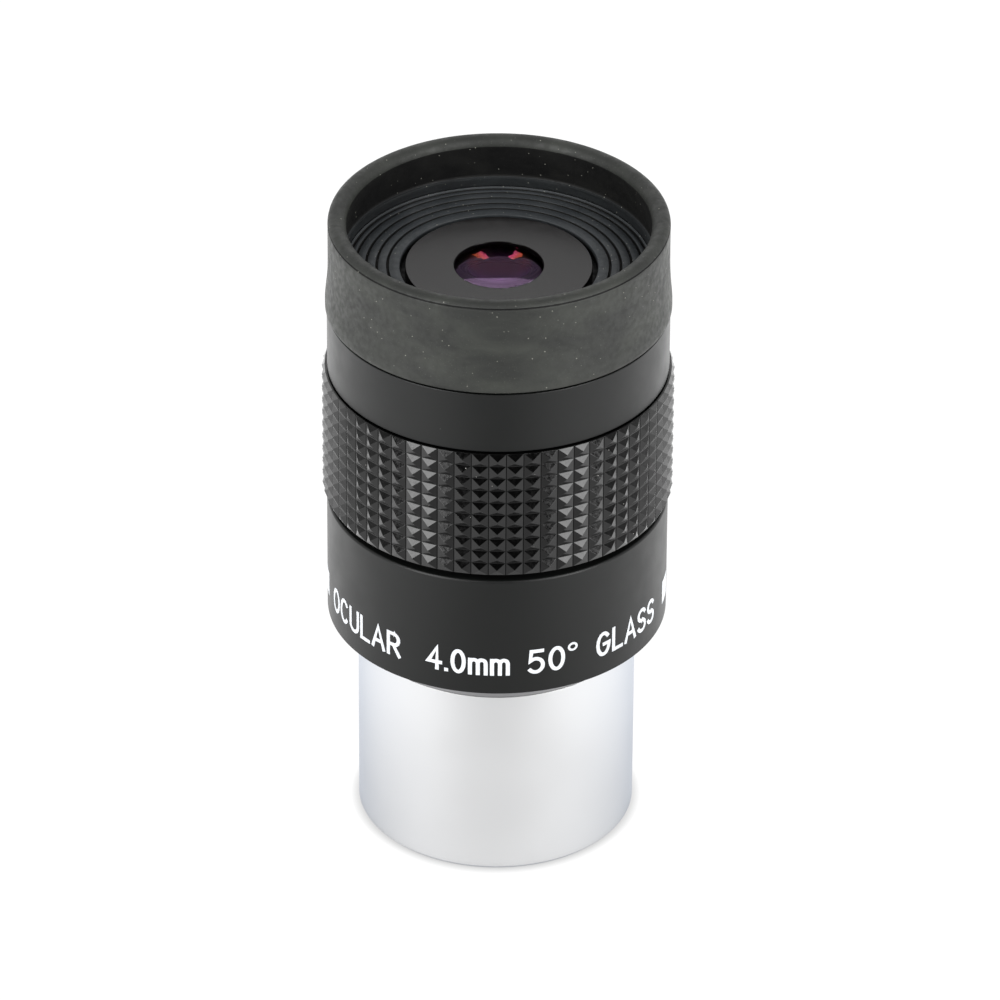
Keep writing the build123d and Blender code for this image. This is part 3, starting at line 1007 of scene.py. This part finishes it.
def joined_strokes(strokes):
    """Flat mesh of all the strokes as one skin. The boolean joins the last stroke to the others, which
    it also joins to each other."""
    flat = []
    for part in (strokes[:-1], strokes[-1:]):
        mesh_builder = bmesh.new()
        for points, width in part:
            stroke_prism(mesh_builder, points, width / 2, -LETTER_ROOT, LETTER_RELIEF)
        flat.append(finish_mesh("letter_strokes", mesh_builder, smooth=False))
    union = flat[0].modifiers.new("union", "BOOLEAN")
    union.operation = "UNION"
    union.solver = "EXACT"
    union.use_self = True
    union.object = flat[1]
    evaluated = flat[0].evaluated_get(bpy.context.evaluated_depsgraph_get())
    mesh_builder = bmesh.new()
    mesh_builder.from_mesh(evaluated.to_mesh())
    for piece in flat:
        bpy.data.objects.remove(piece)
    return mesh_builder


def make_lettering(paint):
    """Painted marking around the lower housing, laid out flat and then wrapped on."""
    radius = outer_radius("lower_housing")
    mesh_builder = joined_strokes(letter_strokes(radius))
    cuts = int(math.pi * radius / 2 / WRAP_STEP) + 1
    for cut in range(-cuts, cuts + 1):
        bmesh.ops.bisect_plane(
            mesh_builder,
            geom=mesh_builder.verts[:] + mesh_builder.edges[:] + mesh_builder.faces[:],
            plane_co=(cut * WRAP_STEP, 0, 0), plane_no=(1, 0, 0), dist=1e-5,
        )
    for vertex in mesh_builder.verts:
        angle = vertex.co.x / radius
        out = (radius + vertex.co.z) * MM
        vertex.co = (out * math.sin(angle), -out * math.cos(angle), vertex.co.y * MM)
    lettering = finish_mesh("lettering", mesh_builder, smooth=False)
    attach(lettering, HOUSING)
    lettering.data.materials.append(paint)


# ---- Scene ----

# The light table's glow, by place in millimetres: it fades out in front of the object, and is brighter
# behind it and to its sides.
TABLE_GLOW = 0.83
TABLE_FADED = 0.1
TABLE_FRONT = (-165, -125)
TABLE_BACK = 0.45
TABLE_BACK_BAND = (-30, 90)
TABLE_SIDE = 0.7
TABLE_SIDE_BAND = (25, 60)
TABLE_SEEN = 0.95  # what the camera sees of it
# Painted shadow: the table's glow is dimmed in a ring around the object's foot.
PAINTED_CONTACT_SHADOW = 0.6  # share of the glow that is left under the object's edge
CONTACT_BAND = (15.5, 16.9)

# The studio's glow, by direction: Y for the walls and Z for the ceiling.
ROOM_GLOW = 0.02  # behind the camera
SIDE_GLOW = 0.65
SIDE_BAND = (-0.5, -0.1)
BACKDROP_GLOW = 1.2
BACKDROP_BAND = (0.1, 0.5)
CEILING_GLOW = 0.3  # share of the walls' glow that is left overhead
CEILING_BAND = (0.72, 0.8)
ROOF_GLOW = 0.1  # what the ceiling adds all over
ROOF_BAND = (0.66, 0.78)
STUDIO_SEEN = 1.0

SOFTBOX = {"distance": 0.75, "low": 0.02, "width": 0.32, "height": 1.35, "radiance": 10.0}
SOFTBOX_LEFT = -46  # azimuth in degrees
SOFTBOX_RIGHT = 48
STRIP_LIGHT = {"distance": 0.62, "low": 0.525, "width": 0.22, "height": 0.1, "radiance": 6.0}


def make_stage():
    """Pale light table. It glows, has a faint shadow painted into its glow around the object's foot, ends in
    front of the object as the lights see it, and is clear from below."""
    mesh_builder = bmesh.new()
    bmesh.ops.create_circle(mesh_builder, cap_ends=True, radius=4.0, segments=96)
    floor = finish_mesh("stage_floor", mesh_builder, smooth=False)
    floor.location.z = -0.00005
    surface = Surface("stage_white", (0.08, 0.08, 0.08), 0.9, specular=0.0)
    surface.set("Emission Color", (1, 1, 1, 1))
    place_on_table = surface.position()
    axes = surface.axes(place_on_table)
    front = surface.spread(axes["Y"], *TABLE_FRONT, TABLE_FADED, TABLE_GLOW)
    back = surface.spread(axes["Y"], *TABLE_BACK_BAND, 0, TABLE_BACK)
    aside = surface.calculate("ABSOLUTE", axes["X"])
    sides = surface.spread(aside, *TABLE_SIDE_BAND, 0, TABLE_SIDE)
    glow = surface.calculate("ADD", surface.calculate("ADD", front, back), sides)
    # Painted contact shadow: the glow is dimmed near the object's edge.
    painted_shadow = surface.spread(surface.length(place_on_table), *CONTACT_BAND, PAINTED_CONTACT_SHADOW, 1)
    strength = surface.calculate("MULTIPLY", surface.to_camera(TABLE_SEEN, glow), painted_shadow)
    surface.link(strength, surface.shader.inputs["Emission Strength"])
    clear = surface.node("ShaderNodeBsdfTransparent")
    below = surface.node("ShaderNodeNewGeometry").outputs["Backfacing"]
    surface.mix_shaders(below, surface.shader.outputs["BSDF"], clear.outputs["BSDF"])
    floor.data.materials.append(surface.material)
    for face in floor.data.polygons:
        if face.normal.z < 0:
            face.flip()


def make_world():
    """Studio: bright backdrop behind the object, dark room behind the camera, white to the camera itself."""
    world = bpy.data.worlds.new("studio")
    bpy.context.scene.world = world
    world.use_nodes = True
    studio = Shading(world.node_tree)
    axes = studio.axes(studio.node("ShaderNodeTexCoord").outputs["Generated"])
    sides = studio.spread(axes["Y"], *SIDE_BAND, ROOM_GLOW, SIDE_GLOW)
    back = studio.spread(axes["Y"], *BACKDROP_BAND, 0, BACKDROP_GLOW - SIDE_GLOW)
    shade = studio.spread(axes["Z"], *CEILING_BAND, 1, CEILING_GLOW)
    roof = studio.spread(axes["Z"], *ROOF_BAND, 0, ROOF_GLOW)
    walls = studio.calculate("MULTIPLY", studio.calculate("ADD", sides, back), shade)
    glow = studio.calculate("ADD", walls, roof)
    background = studio.tree.nodes["Background"]
    background.inputs["Color"].default_value = (1, 1, 1, 1)
    studio.link(studio.to_camera(STUDIO_SEEN, glow), background.inputs["Strength"])


def make_softbox(name, azimuth, distance, low, width, height, radiance):
    """Upright rectangular light around the object. Azimuth 0 is the camera's side, positive to its
    right, and low is the height of its lower edge."""
    light = bpy.data.lights.new(name, "AREA")
    light.shape = "RECTANGLE"
    light.size = width
    light.size_y = height
    light.energy = radiance * math.pi * width * height
    box = bpy.data.objects.new(name, light)
    bpy.context.scene.collection.objects.link(box)
    a = math.radians(azimuth)
    out = Vector((math.sin(a), -math.cos(a), 0))
    box.location = out * distance + Vector((0, 0, low + height / 2))
    box.rotation_mode = "QUATERNION"
    box.rotation_quaternion = out.to_track_quat("Z", "Y")


def make_camera():
    """Long lens, looking down on the object at the product picture's angle."""
    distance = 0.9438
    elevation = math.radians(32.61)
    roll = math.radians(0.358)
    aim = Vector((0, 0, 0.0401))
    camera_data = bpy.data.cameras.new("camera")
    camera_data.lens = 298.9
    camera_data.sensor_width = 36
    camera_data.shift_x = 0.0026
    camera_data.clip_start = 0.01
    camera_data.clip_end = 20
    camera = bpy.data.objects.new("camera", camera_data)
    bpy.context.scene.collection.objects.link(camera)
    back = Vector((0, -math.cos(elevation), math.sin(elevation)))
    camera.location = aim + back * distance
    camera.rotation_euler = (math.pi / 2 - elevation, 0, 0)
    bpy.context.view_layer.update()
    camera.rotation_euler.rotate_axis("Z", roll)
    bpy.context.scene.camera = camera


def finish_inside_pieces(material):
    """Matte black on the CAD nodes that no piece replaces."""
    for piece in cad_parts.values():
        if not piece.hide_render:
            piece.data.materials.clear()
            piece.data.materials.append(material)


def main():
    anodised = black_anodised()
    inside = inside_black()
    glass = coated_glass()
    cup_inside = eyecup_rubber("eyecup_inside_painted_shade", *CUP_INSIDE_PAINTED_SHADE)
    make_barrel(satin_chrome(), inside)
    make_seating_ring(grey_ring())
    make_lower_housing(anodised)
    make_upper_housing(anodised)
    make_grip(grip_rubber())
    make_eyecup_floor(eyecup_rubber("eyecup_floor", *CUP_FLOOR_TONE_AND_LIGHT), cup_inside)
    make_eyecup_wall(
        eyecup_rubber("eyecup_outside", *CUP_OUTSIDE), cup_inside, eyecup_rubber("eyecup_foot_painted_shade", *CUP_FOOT_PAINTED_SHADE)
    )
    make_plate(plate_black())
    for lens in LENSES:
        make_lens(*lens, glass, inside)
    make_lettering(letter_paint())
    finish_inside_pieces(inside)
    make_stage()
    make_world()
    make_softbox("softbox_left", SOFTBOX_LEFT, **SOFTBOX)
    make_softbox("softbox_right", SOFTBOX_RIGHT, **SOFTBOX)
    make_softbox("strip_light", 180, **STRIP_LIGHT)
    make_camera()
    bpy.context.scene.view_settings.view_transform = "Standard"


main()
